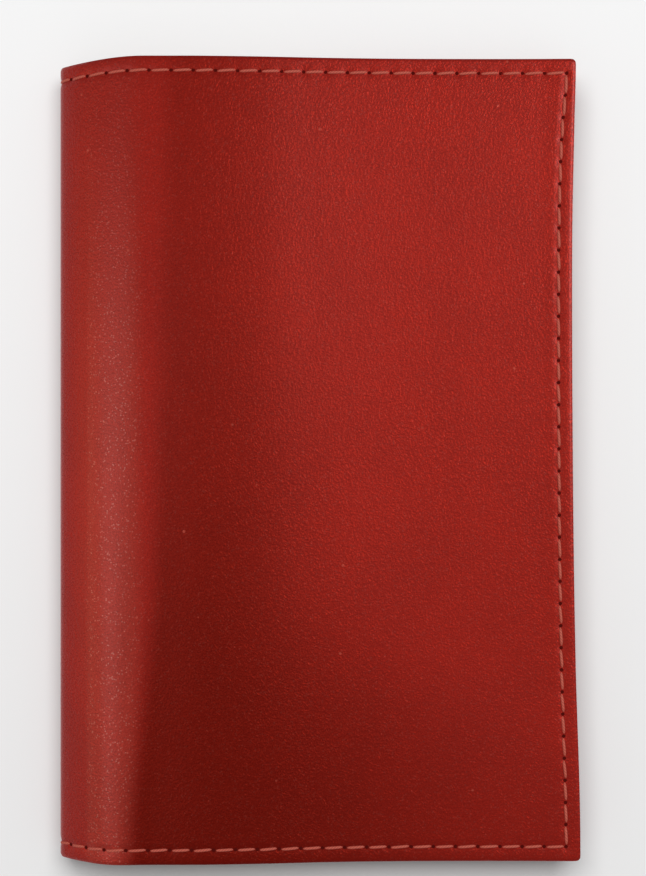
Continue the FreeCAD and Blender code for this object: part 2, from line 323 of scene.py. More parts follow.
class Seam:
    """Needle holes and stitches along head, fore-edge and tail, in (s, y)."""

    def __init__(self, sizes):
        self.inset = sizes.seam_inset / MM
        self.half = HALF - self.inset
        self.pitch = 2 * self.half / sizes.stitches
        self.ends = {way: FOLD.end(way) - self.inset for way in (1, -1)}
        self.counts = {way: round(end / self.pitch) for way, end in self.ends.items()}

    def drift(self, y):
        """How far the fore-edge seam strays outwards as it nears the head."""
        return through(SEAM_DRIFT, y)

    def step(self, way, side):
        """Pitch of the stitches along the head (side 1) or the tail (side -1)."""
        return (self.ends[way] + self.drift(side * self.half)) / self.counts[way]

    def runs(self, way):
        """The stitches of one half, each as its start (s, y) and its reach to the next hole."""
        end, head = self.ends[way], []
        for side in (1, -1):
            step = self.step(way, side)
            head += [((way * i * step, side * self.half), (way * step, 0.0)) for i in range(self.counts[way])]
        points = [-self.half + i * self.pitch for i in range(round(2 * self.half / self.pitch) + 1)]
        down = [((way * (end + self.drift(a)), a), (way * (self.drift(b) - self.drift(a)), b - a))
                for a, b in zip(points, points[1:])]
        return head + down

    def relief(self, s, y):
        """How deep the sewn leather is drawn in at a point, and how its edge falls away."""
        way = 1 if s >= 0 else -1
        end, step = self.ends[way], self.step(way, 1 if y > 0 else -1)
        to_edge = min(end + self.inset - abs(s), HALF - abs(y))
        off = to_edge - self.inset
        if abs(y) <= self.half and end + self.inset - abs(s) < HALF - abs(y):
            off += self.drift(y)
            along = (y + self.half) / self.pitch
            reach = self.pitch
        else:
            along = min(abs(s), end) / step
            reach = step
        phase = (along - round(along)) * reach
        valley = VALLEY * math.exp(-(off / VALLEY_REACH) ** 2)
        pucker = PUCKER * math.exp(-(off * off + phase * phase) / PUCKER_REACH ** 2)
        fall = EDGE_FALL * (1 - smooth(to_edge / EDGE_BAND)) ** 2
        between_holes = 0.5 - 0.5 * math.cos(phase / reach * 2 * math.pi)
        swell = SWELL * math.exp(-((abs(off) - SWELL_OFF) / PUCKER_REACH) ** 2) * between_holes
        return valley + pucker + fall - swell


# ---------------------------------------------------------------- mesh helpers

def stations(*spans):
    """Positions over joined spans, each (end, step) after the first number."""
    values = [spans[0]]
    for end, step in spans[1:]:
        start = values[-1]
        count = max(1, round(abs(end - start) / step))
        values += [start + (end - start) * (i + 1) / count for i in range(count)]
    return values


def slab(across, along):
    """Closed box grid whose corners stand at whole-number coordinates, one per station, on layers 0 and 1.

    Material 0 is the first layer's, 1 the last layer's and 2 the rim's.
    """
    bm = bmesh.new()
    bmesh.ops.create_grid(bm, x_segments=len(across) - 1, y_segments=len(along) - 1, size=1.0)
    half = Vector((len(across) - 1, len(along) - 1, 0)) / 2
    for v in bm.verts:
        v.co = Vector((round((v.co.x + 1) * half.x), round((v.co.y + 1) * half.y), 0))
    made = bmesh.ops.extrude_face_region(bm, geom=list(bm.faces), use_keep_orig=True)
    moved = [g for g in made["geom"] if isinstance(g, bmesh.types.BMVert)]
    bmesh.ops.translate(bm, verts=moved, vec=(0, 0, 1))
    for f in bm.faces:
        levels = {round(v.co.z) for v in f.verts}
        f.material_index = 2 if len(levels) > 1 else levels.pop()
    return bm


def shape_slab(bm, across, along, layers, place):
    """Moves a slab's corners into place, keeping the flat coordinates in a UV map in metres."""
    uv = bm.loops.layers.uv.new("flat")
    for f in bm.faces:
        for loop in f.loops:
            corner = loop.vert.co
            loop[uv].uv = (across[round(corner.x)] * MM, along[round(corner.y)] * MM)
    for v in bm.verts:
        v.co = place(across[round(v.co.x)], along[round(v.co.y)], layers[round(v.co.z)])


def finish_mesh(name, bm, finishes, sharp=math.radians(40)):
    """Makes the object, with its finishes by name, faces outwards, smooth shading and sharp rims."""
    bmesh.ops.recalc_face_normals(bm, faces=bm.faces)
    for f in bm.faces:
        f.smooth = True
    for e in bm.edges:
        if len(e.link_faces) == 2 and e.calc_face_angle(0) > sharp:
            e.smooth = False
    mesh = bpy.data.meshes.new(name)
    bm.to_mesh(mesh)
    bm.free()
    for finish in finishes:
        mesh.materials.append(material(finish))
    piece = bpy.data.objects.new(name, mesh)
    bpy.context.scene.collection.objects.link(piece)
    return piece


# Where the bends start and end between bodies: of the leather, and of the leaves.
BACK_BEND = (in_frame(5.0, 0, 0.0), in_frame(0.0, 0, 5.0))
FRONT_BEND = (in_frame(0.0, 0, 7.0), in_frame(9.0, 0, 13.0))
BACK_PAGE_BEND = (in_frame(10.0, 0, 4.9), in_frame(6.8, 0, 4.9))
FRONT_PAGE_BEND = (in_frame(6.8, 0, 4.9), in_frame(10.0, 0, 4.9))


def bend(piece, way, nodes, bends=(FRONT_BEND, BACK_BEND)):
    """Bakes a half of the leather, or what lies along it, into place and hides the CAD nodes that it stands
    for.
    """
    if way > 0:
        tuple(bends[0][0])
        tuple(bends[0][1])
        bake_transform(piece)
    else:
        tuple(bends[1][0])
        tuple(bends[1][1])
        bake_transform(piece)
    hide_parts(*nodes)


# ---------------------------------------------------------------- finishes

class Value:
    """One socket of a finish. Arithmetic on values adds Math nodes."""

    def __init__(self, finish, socket):
        self.finish, self.socket = finish, socket

    def math(self, operation, *inputs):
        return self.finish.node("ShaderNodeMath", {"operation": operation}, list(inputs))["Value"]

    def __add__(self, other):
        return self.math("ADD", self, other)

    __radd__ = __add__

    def __sub__(self, other):
        return self.math("SUBTRACT", self, other)

    def __rsub__(self, other):
        return self.math("SUBTRACT", other, self)

    def __mul__(self, other):
        return self.math("MULTIPLY", self, other)

    __rmul__ = __mul__

    def __truediv__(self, other):
        return self.math("DIVIDE", self, other)

    def fract(self):
        return self.math("FRACT", self)

    def size(self):
        return self.math("ABSOLUTE", self)

    def least(self, other):
        return self.math("MINIMUM", self, other)

    def most(self, other):
        return self.math("MAXIMUM", self, other)

    def ramp(self, low, high, to_low=0.0, to_high=1.0):
        """Smooth step from to_low at low to to_high at high."""
        settings = {"interpolation_type": "SMOOTHSTEP"}
        inputs = [self, low, high, to_low, to_high]
        return self.finish.node("ShaderNodeMapRange", settings, inputs)["Result"]


class Node:
    """A made node, whose outputs are read as values by name."""

    def __init__(self, finish, node):
        self.finish, self.node = finish, node

    def __getitem__(self, name):
        return Value(self.finish, self.node.outputs[name])


class Finish:
    """A procedural material round one Principled shader."""

    def __init__(self, name, **shader):
        self.material = bpy.data.materials.new(name)
        self.material.use_nodes = True
        self.tree = self.material.node_tree
        self.shader = self.tree.nodes["Principled BSDF"]
        for socket, value in shader.items():
            self.shader.inputs[socket.replace("_", " ")].default_value = value

    def node(self, kind, settings=None, inputs=()):
        """Adds any node, with its settings and what feeds its inputs, by number or by name."""
        made = self.tree.nodes.new(kind)
        for name, value in (settings or {}).items():
            setattr(made, name, value)
        pairs = inputs.items() if isinstance(inputs, dict) else enumerate(inputs)
        for key, value in pairs:
            self.feed(made.inputs[key], value)
        return Node(self, made)

    def feed(self, socket, value):
        if isinstance(value, Value):
            self.tree.links.new(value.socket, socket)
        else:
            socket.default_value = value

    def into(self, name, value):
        self.feed(self.shader.inputs[name], value)

    def flat(self, scale=1000.0):
        """The piece's flat coordinates, in millimetres unless scaled."""
        uv = self.node("ShaderNodeUVMap", {"uv_map": "flat"})["UV"]
        return self.times(uv, scale)

    def parts(self, vector):
        return self.node("ShaderNodeSeparateXYZ", {}, [vector])

    def solid(self, scale=1000.0):
        """The object's own coordinates, in millimetres unless scaled."""
        place = self.node("ShaderNodeTexCoord")["Object"]
        return self.times(place, scale)

    def times(self, vector, scale):
        made = self.node("ShaderNodeVectorMath", {"operation": "SCALE"}, {"Vector": vector, "Scale": scale})
        return made["Vector"]

    def noise(self, vector, scale, detail=2.0, rough=0.5):
        inputs = {"Vector": vector, "Scale": scale, "Detail": detail, "Roughness": rough}
        return self.node("ShaderNodeTexNoise", {}, inputs)["Fac"]

    def cells(self, vector, scale, feature="F1"):
        inputs = {"Vector": vector, "Scale": scale, "Randomness": 1.0}
        return self.node("ShaderNodeTexVoronoi", {"feature": feature}, inputs)["Distance"]

    def mix(self, share, a, b):
        """Colour between a and b, which a colour mix takes on inputs 6 and 7 and gives on output 2."""
        made = self.node("ShaderNodeMix", {"data_type": "RGBA"}, {"Factor": share})
        for socket, value in ((made.node.inputs[6], a), (made.node.inputs[7], b)):
            self.feed(socket, value if isinstance(value, Value) else (*value, 1.0))
        return Value(self, made.node.outputs[2])

    def bump(self, height, distance, strength):
        inputs = {"Height": height, "Distance": distance, "Strength": strength}
        return self.node("ShaderNodeBump", {}, inputs)["Normal"]


def scaled(colour, by):
    return tuple(min(1.0, c * by) for c in colour)


def hide_finish(look):
    """Pigmented, finely pebbled leather, with a gloss that breaks up on its pebbles; painted glints on the
    pebbles, a painted highlight along the spine, and painted shade beside the crown and towards the tail.
    """
    f = Finish("hide", Metallic=0.28, Specular_IOR_Level=0.5, Coat_Roughness=0.34)
    f.shader.inputs["Specular Tint"].default_value = (1.0, 0.12, 0.06, 1.0)
    at = f.flat()
    s, rise = f.parts(at)["X"], f.parts(at)["Y"] / HEIGHT + 0.5

    pebbles = f.cells(at, 2.1, "SMOOTH_F1")
    creases = f.cells(at, 1.5, "DISTANCE_TO_EDGE").ramp(0.0, 0.25)
    fine = f.noise(at, 3.2, 4.0, 0.7)
    broad = f.noise(at, 0.05, 3.0, 0.55)
    # darker between the pebbles: painted shade in the creases; the broad and fine noises give random tone
    shade = creases * 0.2 + broad.ramp(0.35, 0.65) * 0.45 + fine.ramp(0.3, 0.7) * 0.35
    colour = f.mix(shade, look.hide_dark, look.hide)

    # painted shade: the colour darkens and the coat thins beside the crown and towards the tail
    painted_shade = painted_shade_mask(s, rise)
    shaded_colour = f.mix(painted_shade, colour, scaled(look.hide_dark, 0.3))
    # light specks, and painted glints on the peaks of the fine grain
    specks = f.cells(at, 0.16).ramp(0.055, 0.03)
    toned = f.mix((specks * 0.4).most(fine.ramp(0.58, 0.72) * 0.17), shaded_colour, look.thread)

    # flecks: painted glints on the pebbles, pale in the base colour and glossier in the coat
    flecks = f.cells(at, 1.9).ramp(0.36, 0.16) * f.noise(at, 1.1).ramp(0.38, 0.56)
    # painted highlight along the top of the spine, kept out of the painted shade
    highlight_band = painted_highlight_band(s, rise) * (1.0 - painted_shade * 1.5).most(0.0)
    # base colour mixed towards the glint colour: painted glints on the flecks, stronger in the painted
    # highlight on the spine
    f.into("Base Color", f.mix(flecks * (0.028 + highlight_band * 0.14) + highlight_band * 0.045, toned, look.glint))

    side = s.size().ramp(2.0, 9.0, 0.3, 1.0)
    wax = (0.31 - painted_shade * 0.34).most(0.01) * side
    f.into("Coat Weight", (wax * (1.0 + flecks * (0.8 + highlight_band * 1.1))).least(1.0))
    f.into("Roughness", 0.22 + fine * 0.12)
    f.into("Normal", f.bump(creases * 0.25 + pebbles * -0.5 + fine * 0.6, 0.16 * MM, 0.62))
    return f.material


def painted_shade_mask(s, rise):
    """Share of painted shade on the front cover: beside the crown, and towards the tail.

    s is the developed length in millimetres, and rise runs from 0 at the tail to 1 at the head.
    """
    low = rise.ramp(0.85, 0.10)
    tail = rise.ramp(0.38, 0.0)
    lean = rise.ramp(0.0, 0.35) * 3.3 + rise * 4.0
    crown_side = s.ramp(13.8 + lean, 19.2 + lean)
    fore_edge_side = s.ramp(30.0, 64.0 + tail * 56.0, 1.0, 0.0)
    return crown_side * fore_edge_side * (0.30 + low * 0.42)


def painted_highlight_band(s, rise):
    """Share of painted highlight along the top of the spine, strongest from the middle down to the tail."""
    return s.ramp(7.6, 9.4) * s.ramp(20.5, 16.5) * rise.ramp(1.05, 0.5, 0.1, 1.0)


def flesh_finish(look):
    """The fibrous back of the hide, mostly hidden."""
    f = Finish("flesh_side", Roughness=0.9)
    fibres = f.noise(f.solid(), 3.0, 4.0, 0.7)
    f.into("Base Color", f.mix(fibres, scaled(look.suede, 0.6), look.suede))
    f.into("Normal", f.bump(fibres, 0.2 * MM, 0.6))
    return f.material


def edge_finish(look):
    """Burnished cut edge, with the fibres of the leather showing in it."""
    f = Finish("cut_edge", Roughness=0.55)
    fibres = f.noise(f.solid(), 4.0, 4.0, 0.65)
    f.into("Base Color", f.mix(fibres.ramp(0.3, 0.7), scaled(look.cut_edge, 0.5), look.cut_edge))
    f.into("Normal", f.bump(fibres, 0.1 * MM, 0.5))
    return f.material


def suede_finish(look):
    """Napped suede lining."""
    f = Finish("suede_lining", Roughness=0.95, Sheen_Weight=0.5, Sheen_Roughness=0.5)
    at = f.flat()
    nap = f.noise(at, 4.5, 4.0, 0.7)
    brushed = f.noise(at, 0.12, 3.0, 0.6)
    shade = nap * 0.5 + brushed.ramp(0.35, 0.65) * 0.5
    f.into("Base Color", f.mix(shade, scaled(look.suede, 0.55), scaled(look.suede, 1.15)))
    f.into("Normal", f.bump(nap, 0.12 * MM, 0.7))
    return f.material


def thread_finish(look):
    """Waxed thread of three twisted strands."""
    f = Finish("waxed_thread", Roughness=0.6, Specular_IOR_Level=0.3)
    parts = f.parts(f.flat(1.0))
    twist = (parts["X"] + parts["Y"]).fract()
    strand = (twist - 0.5).size().ramp(0.5, 0.22)
    fuzz = f.noise(f.solid(), 6.0, 3.0, 0.7)
    # darker where the strands meet: painted shade in the grooves of the twist; the fuzz adds random tone
    shade = strand * 0.75 + fuzz * 0.25
    f.into("Base Color", f.mix(shade, scaled(look.thread, 0.55), scaled(look.thread, 1.1)))
    f.into("Normal", f.bump(strand + fuzz * 0.3, 0.05 * MM, 0.6))
    return f.material


def hole_finish(look):
    """Shadowed inside of a needle hole."""
    f = Finish("needle_hole", Roughness=0.9, Specular_IOR_Level=0.1)
    dust = f.noise(f.solid(), 8.0)
    f.into("Base Color", f.mix(dust, scaled(look.hide_dark, 0.15), scaled(look.hide_dark, 0.45)))
    return f.material


def card_finish(look):
    """Uncoated kraft card with short fibres."""
    f = Finish("kraft_card", Roughness=0.8)
    at = f.solid()
    fibres = f.noise(at, 2.6, 4.0, 0.7)
    flecks = f.cells(at, 0.7).ramp(0.05, 0.12)
    tone = f.mix(fibres.ramp(0.3, 0.7), scaled(look.card, 0.8), scaled(look.card, 1.12))
    f.into("Base Color", f.mix(flecks, scaled(look.card, 0.45), tone))
    f.into("Normal", f.bump(fibres, 0.05 * MM, 0.5))
    return f.material


def paper_finish(look):
    """Ivory leaves, with faint ruled lines on their faces."""
    f = Finish("ivory_paper", Roughness=0.85)
    rule = ((f.parts(f.flat())["Y"] / RULE_SPACING).fract() - 0.5).size().ramp(0.475, 0.49)
    tooth = f.noise(f.solid(), 3.5, 3.0, 0.6)
    tone = f.mix(tooth, scaled(look.paper, 0.9), look.paper)
    f.into("Base Color", f.mix(rule * 0.35, tone, (0.35, 0.42, 0.5)))
    f.into("Normal", f.bump(tooth, 0.03 * MM, 0.4))
    return f.material


def leaf_edge_finish(look):
    """Trimmed edges of the leaves, each a little lighter or darker than the next."""
    f = Finish("trimmed_edges", Roughness=0.9)
    inputs = [f.solid(), (0.03, 0.03, 7.0)]
    stretched = f.node("ShaderNodeVectorMath", {"operation": "MULTIPLY"}, inputs)["Vector"]
    leaves = f.noise(stretched, 1.0, 2.0, 0.6)
    f.into("Base Color", f.mix(leaves.ramp(0.35, 0.65), scaled(look.paper, 0.62), scaled(look.paper, 1.05)))
    f.into("Normal", f.bump(leaves, 0.06 * MM, 0.6))
    return f.material


def wire_finish(look):
    """Drawn steel staple wire."""
    f = Finish("staple_wire", Metallic=1.0, Roughness=0.3)
    drawn = f.noise(f.solid(), 5.0, 2.0)
    f.into("Base Color", f.mix(drawn, (0.45, 0.45, 0.46), (0.72, 0.72, 0.73)))
    f.into("Roughness", 0.22 + drawn * 0.2)
    return f.material


def floor_finish(look):
    """Matt pale paint, a little darker towards the head."""
    f = Finish("floor", Roughness=0.9, Specular_IOR_Level=0.0)
    paint = (0.80 - f.parts(f.solid(1.0))["Y"] * 0.25).least(0.9).most(0.7)
    f.into("Base Color", f.node("ShaderNodeCombineXYZ", {}, [paint] * 3)["Vector"])
    return f.material


FINISHES = {
    "hide": hide_finish, "flesh_side": flesh_finish, "cut_edge": edge_finish, "suede_lining": suede_finish,
    "waxed_thread": thread_finish, "needle_hole": hole_finish, "kraft_card": card_finish,
    "ivory_paper": paper_finish, "trimmed_edges": leaf_edge_finish, "staple_wire": wire_finish,
    "floor": floor_finish,
}


def material(name):
    """The material of that name, made on its first use."""
    return bpy.data.materials.get(name) or FINISHES[name](bpy.context.scene.cover_finish)


# ---------------------------------------------------------------- operators

class COVER_OT_stage(bpy.types.Operator):
    """Lay a plain pale floor, hang soft lights and set the camera straight above the cover"""

    bl_idname = "cover.stage"
    bl_label = "Studio"

    def execute(self, context):
        scene = context.scene
        studio = scene.studio
        scene.view_settings.view_transform = "Standard"
        floor = self.floor()
        self.lamp("key_softbox", (22, 38), (0.26, 0.26), studio.key, floor)
        self.lamp("crown_softbox", (187, 34), (0.26, 0.42), studio.crown_light, floor)
        self.lamp("spine_softbox", (180, 72), (0.26, 0.26), studio.spine_light, floor, colour=(1.0, 0.5, 0.3))
        self.lamp("table_wash", (88, 24), (0.52, 0.36), studio.wash, floor, "INCLUDE")
        self.world(scene, studio.air)
        camera = bpy.data.cameras.new("camera")
        camera.lens = studio.lens
        camera.sensor_fit = "VERTICAL"
        camera.sensor_height = 36.0
        body = bpy.data.objects.new("camera", camera)
        scene.collection.objects.link(body)
        body.location = (*CAMERA_OVER, studio.distance)
        scene.camera = body
        return {"FINISHED"}

    def floor(self):
        """Pale table, a hair below the cover."""
        bm = bmesh.new()
        bmesh.ops.create_grid(bm, x_segments=1, y_segments=1, size=3.0)
        bmesh.ops.translate(bm, verts=bm.verts, vec=(0, 0, -0.00005))
        floor = finish_mesh("floor", bm, ["floor"])
        return floor

    def lamp(self, name, bearing, size, power, floor, link="EXCLUDE", colour=(1.0, 1.0, 1.0)):
        """Softbox aimed at the cover's middle. It lights all but the floor, or with INCLUDE only the floor.

        bearing is its azimuth from +X and its angle from straight above, in degrees.
        """
        light = bpy.data.lights.new(name, "AREA")
        light.shape = "RECTANGLE"
        light.size, light.size_y = size
        light.energy, light.color = power, colour
        lamp = bpy.data.objects.new(name, light)
        bpy.context.scene.collection.objects.link(lamp)
        turn, lean = (math.radians(angle) for angle in bearing)
        aim = Vector((math.sin(lean) * math.cos(turn), math.sin(lean) * math.sin(turn), math.cos(lean)))
        place = aim * LAMP_DISTANCE
        lamp.location = place
        lamp.rotation_euler = (-place).to_track_quat("-Z", "Y").to_euler()
        receivers = bpy.data.collections.new(name + "_receivers")
        receivers.objects.link(floor)
        receivers.collection_objects[0].light_linking.link_state = link
        lamp.light_linking.receiver_collection = receivers

    def world(self, scene, strength):
        scene.world = bpy.data.worlds.new("studio_air")
        scene.world.use_nodes = True
        sky = scene.world.node_tree.nodes["Background"]
        sky.inputs["Color"].default_value = (1, 1, 1, 1)
        sky.inputs["Strength"].default_value = strength


def half_stations(way, sizes):
    """Developed positions of one half of the hide: one sixth of a stitch apart, closer at the sewn edge."""
    seam = Seam(sizes)
    end = seam.ends[way]
    step = end / seam.counts[way] / 6
    values = stations(0.0, (end - 2 * step, step), (end, FINE), (end + seam.inset - EDGE_BAND, 1.1 * FINE),
                      (end + seam.inset, EDGE_BAND / 3))
    return [way * v for v in values]


def height_stations(sizes):
    """Heights from tail to head, closer together at the two seams and the sewn edges."""
    seam = Seam(sizes)
    band, beside = EDGE_BAND / 3, 1.1 * FINE
    return stations(-HALF, (-HALF + EDGE_BAND, band), (-seam.half, beside), (-seam.half + 1.4, FINE),
                    (seam.half - 1.4, seam.pitch / 6), (seam.half, FINE),
                    (HALF - EDGE_BAND, beside), (HALF, band))


class COVER_OT_hide(bpy.types.Operator):
    """Cut the outer hide: one folded piece, in two halves that meet on the outermost line of the spine"""

    bl_idname = "cover.hide"
    bl_label = "Outer Hide"

    def execute(self, context):
        sizes = context.scene.cover_sizes
        seam = Seam(sizes)
        rows = height_stations(sizes)
        for way, name, nodes in ((1, "hide_front", ["front_cover_leather", "spine_leather"]),
                                 (-1, "hide_back", ["back_cover_leather"])):
            across = half_stations(way, sizes)
            bm = slab(across, rows)

            def place(s, y, layer):
                drawn = seam.relief(s, y)
                if way < 0:
                    drawn = max(drawn, 0.0)  # the back lies on the table
                return FOLD.place(s, y, LEATHER if layer else drawn)

            shape_slab(bm, across, rows, SKIN, place)
            piece = finish_mesh(name, bm, ["hide", "flesh_side", "cut_edge"])
            bend(piece, way, nodes)
        return {"FINISHED"}


class COVER_OT_lining(bpy.types.Operator):
    """Glue the thin suede lining inside the hide"""

    bl_idname = "cover.lining"
    bl_label = "Lining"

    def execute(self, context):
        rows = stations(-HALF, (HALF, 3.0))
        for way, name, nodes in ((1, "lining_front", ["front_lining", "spine_lining"]),
                                 (-1, "lining_back", ["back_lining"])):
            across = [way * v for v in stations(0.0, (30.0, 0.5), (FOLD.end(way), 2.5))]
            bm = slab(across, rows)
            shape_slab(bm, across, rows, (LEATHER, LINING_FACE), FOLD.place)
            piece = finish_mesh(name, bm, ["suede_lining", "suede_lining", "cut_edge"])
            bend(piece, way, nodes)
        return {"FINISHED"}


class COVER_OT_sleeves(bpy.types.Operator):
    """Sew in the two sleeves that hold the notebook's card cover"""

    bl_idname = "cover.sleeves"
    bl_label = "Sleeves"

    def execute(self, context):
        inner = HALF - SLEEVE_MARGIN
        rows = stations(-HALF, (-inner, 0.75), (inner, 3.0), (HALF, 0.75))
        for way, name, node in ((1, "sleeve_front", "front_sleeve"), (-1, "sleeve_back", "back_sleeve")):
            end = FOLD.end(way)
            across = stations(end - SLEEVE_DEPTH, (end - SLEEVE_MARGIN, 2.4), (end, 0.75))
            across = [way * v for v in across]
            bm = slab(across, rows)

            def place(s, y, layer, end=end):
                to_edge = min(end - abs(s), HALF - abs(y))
                lift = CARD * smooth((to_edge - SLEEVE_MARGIN + 0.1) / 1.2)  # the margin lies on the lining
                return FOLD.place(s, y, LINING_FACE + lift + (SLEEVE if layer else 0.0))

            shape_slab(bm, across, rows, SKIN, place)
            piece = finish_mesh(name, bm, ["flesh_side", "hide", "cut_edge"])
            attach(piece, "front" if way > 0 else "back")
            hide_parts(node)
        return {"FINISHED"}


def stitch_bmesh(thickness):
    """One stitch of unit length: an arched strand along X whose tips dive into the needle holes."""
    rings, sides = 7, 8
    bm = bmesh.new()
    made = bmesh.ops.create_circle(bm, segments=sides, radius=thickness / 2, cap_ends=False)
    bmesh.ops.rotate(bm, verts=made["verts"], matrix=Matrix.Rotation(math.pi / 2, 3, "Y"))
    bmesh.ops.translate(bm, verts=bm.verts, vec=(-0.5, 0, 0))
    ring = list(bm.edges)
    for i in range(rings):
        made = bmesh.ops.extrude_edge_only(bm, edges=ring)
        verts = [g for g in made["geom"] if isinstance(g, bmesh.types.BMVert)]
        ring = [g for g in made["geom"] if isinstance(g, bmesh.types.BMEdge)]
        bmesh.ops.translate(bm, verts=verts, vec=(1 / rings, 0, 0))
    bmesh.ops.holes_fill(bm, edges=[e for e in bm.edges if e.is_boundary], sides=sides)
    uv = bm.loops.layers.uv.new("flat")
    for f in bm.faces:
        turns = [math.atan2(v.co.z, v.co.y) / (2 * math.pi) for v in f.verts]
        if max(turns) - min(turns) > 0.5:
            turns = [t + 1 if t < 0 else t for t in turns]
        for loop, turn in zip(f.loops, turns):
            loop[uv].uv = (turn * 3, loop.vert.co.x * 6)
        f.smooth = True
    for v in bm.verts:
        share = abs(v.co.x) * 2
        girth = 1 - 0.45 * share ** 5
        v.co.y *= girth * 1.06
        v.co.z = v.co.z * girth - thickness * 0.62 * share ** 3.5
    return bm


def sewn(seam, way, outside, sizes, rng):
    """All the stitches of one half and one face of the seam, in one mesh."""
    template = bpy.data.meshes.new("stitch")
    stitch = stitch_bmesh(sizes.thread / MM)
    stitch.to_mesh(template)
    stitch.free()
    bm = bmesh.new()
    mouth = FOLD.end(way) - SLEEVE_DEPTH
    for (s, y), (ds, dy) in seam.runs(way):
        before = set(bm.verts)
        bm.from_mesh(template)
        new = [v for v in bm.verts if v not in before]
        reach = math.hypot(ds, dy)
        heading = math.atan2(dy, ds)
        turn = sizes.slant * (1 if outside else -1) + rng.uniform(-0.02, 0.02)
        proud = rng.uniform(-0.03, 0.03)
        for v in new:
            a, b, c = v.co.x * (reach * STITCH_FILL), v.co.y, v.co.z
            along = reach / 2 + a * math.cos(turn) - b * math.sin(turn)
            aside = a * math.sin(turn) + b * math.cos(turn)
            at_s = s + along * math.cos(heading) - aside * math.sin(heading)
            at_y = y + along * math.sin(heading) + aside * math.cos(heading)
            if outside:
                depth = (FRONT_GROOVE if way > 0 else BACK_GROOVE) - proud - c
            else:
                sewn_face = SLEEVE_FACE - CARD if abs(at_s) > mouth else LINING_FACE
                depth = sewn_face + INNER_GROOVE + proud + c
            v.co = FOLD.place(at_s, at_y, depth)
    bpy.data.meshes.remove(template)
    return bm


class COVER_OT_seam(bpy.types.Operator):
    """Sew the seam round head, fore-edge and tail, outside and inside"""

    bl_idname = "cover.seam"
    bl_label = "Seam"

    def execute(self, context):
        sizes = context.scene.cover_sizes
        seam = Seam(sizes)
        rng = random.Random(11)
        for way, half in ((1, "front"), (-1, "back")):
            for outside, face in ((True, "outer"), (False, "inner")):
                bm = sewn(seam, way, outside, sizes, rng)
                piece = finish_mesh(f"thread_{half}_{face}", bm, ["waxed_thread"], math.radians(80))
                nodes = [f"{half}_thread_{face}"]
                if way > 0:
                    nodes.append(f"spine_thread_{face}")
                bend(piece, way, nodes)
            bend(self.holes(f"needle_holes_{half}", seam, way), way, [])
        return {"FINISHED"}

    def holes(self, name, seam, way):
        """Discs painted with the shade inside the needle holes, just proud of the drawn-in leather."""
        bm = bmesh.new()
        spots = {(round(s, 3), round(y, 3)) for (s, y), _ in seam.runs(way)}
        spots |= {(round(s + ds, 3), round(y + dy, 3)) for (s, y), (ds, dy) in seam.runs(way)}
        for s, y in sorted(spots):
            made = bmesh.ops.create_circle(bm, segments=12, radius=HOLE_RADIUS, cap_ends=True)
            for v in made["verts"]:
                at_s, at_y = s + v.co.x, y + v.co.y
                v.co = FOLD.place(at_s, at_y, max(seam.relief(at_s, at_y), 0.0) - 0.03)
        return finish_mesh(name, bm, ["needle_hole"])


def page_low(u):
    """Height that the leaves rest at, over the back card or the back sleeve."""
    ramp = smooth((u - (SLEEVE_MOUTH - 4)) / 4)
    return LINING_FACE + CARD + 0.07 + ramp * SLEEVE


def page_high(u):
    """Height of the topmost leaf, under the front card or the front sleeve."""
    sleeve_top = front_inside(u, SLEEVE_FACE + AIR)
    card_top = BOOK_SPINE_TOP - CARD - AIR + (u - FOLD_CENTRE) * 0.05
    ramp = smooth((u - (SLEEVE_MOUTH - 14)) / 12)
    return card_top * (1 - ramp) + sleeve_top * ramp


def front_inside(u, depth):
    """Height of the front cover's inside at a depth, dished as the leather is."""
    slope = (CROWN[1] - FORE_EDGE_TOP) / (WIDTH - CROWN[0])
    outer = FORE_EDGE_TOP + (WIDTH - u) * slope
    return outer - (depth + max(through(FRONT_DISH, u), 0.0) + 0.12) * math.hypot(1.0, slope)


def page_middle(u):
    """Height at which the notebook's two halves meet."""
    share = (u - FOLD_CENTRE) / (BOOK_FORE_EDGE - FOLD_CENTRE)
    return PAGE_MIDDLE + (PAGE_MIDDLE_FORE_EDGE - PAGE_MIDDLE) * share


LEAF_FINISHES = ["ivory_paper", "ivory_paper", "trimmed_edges"]


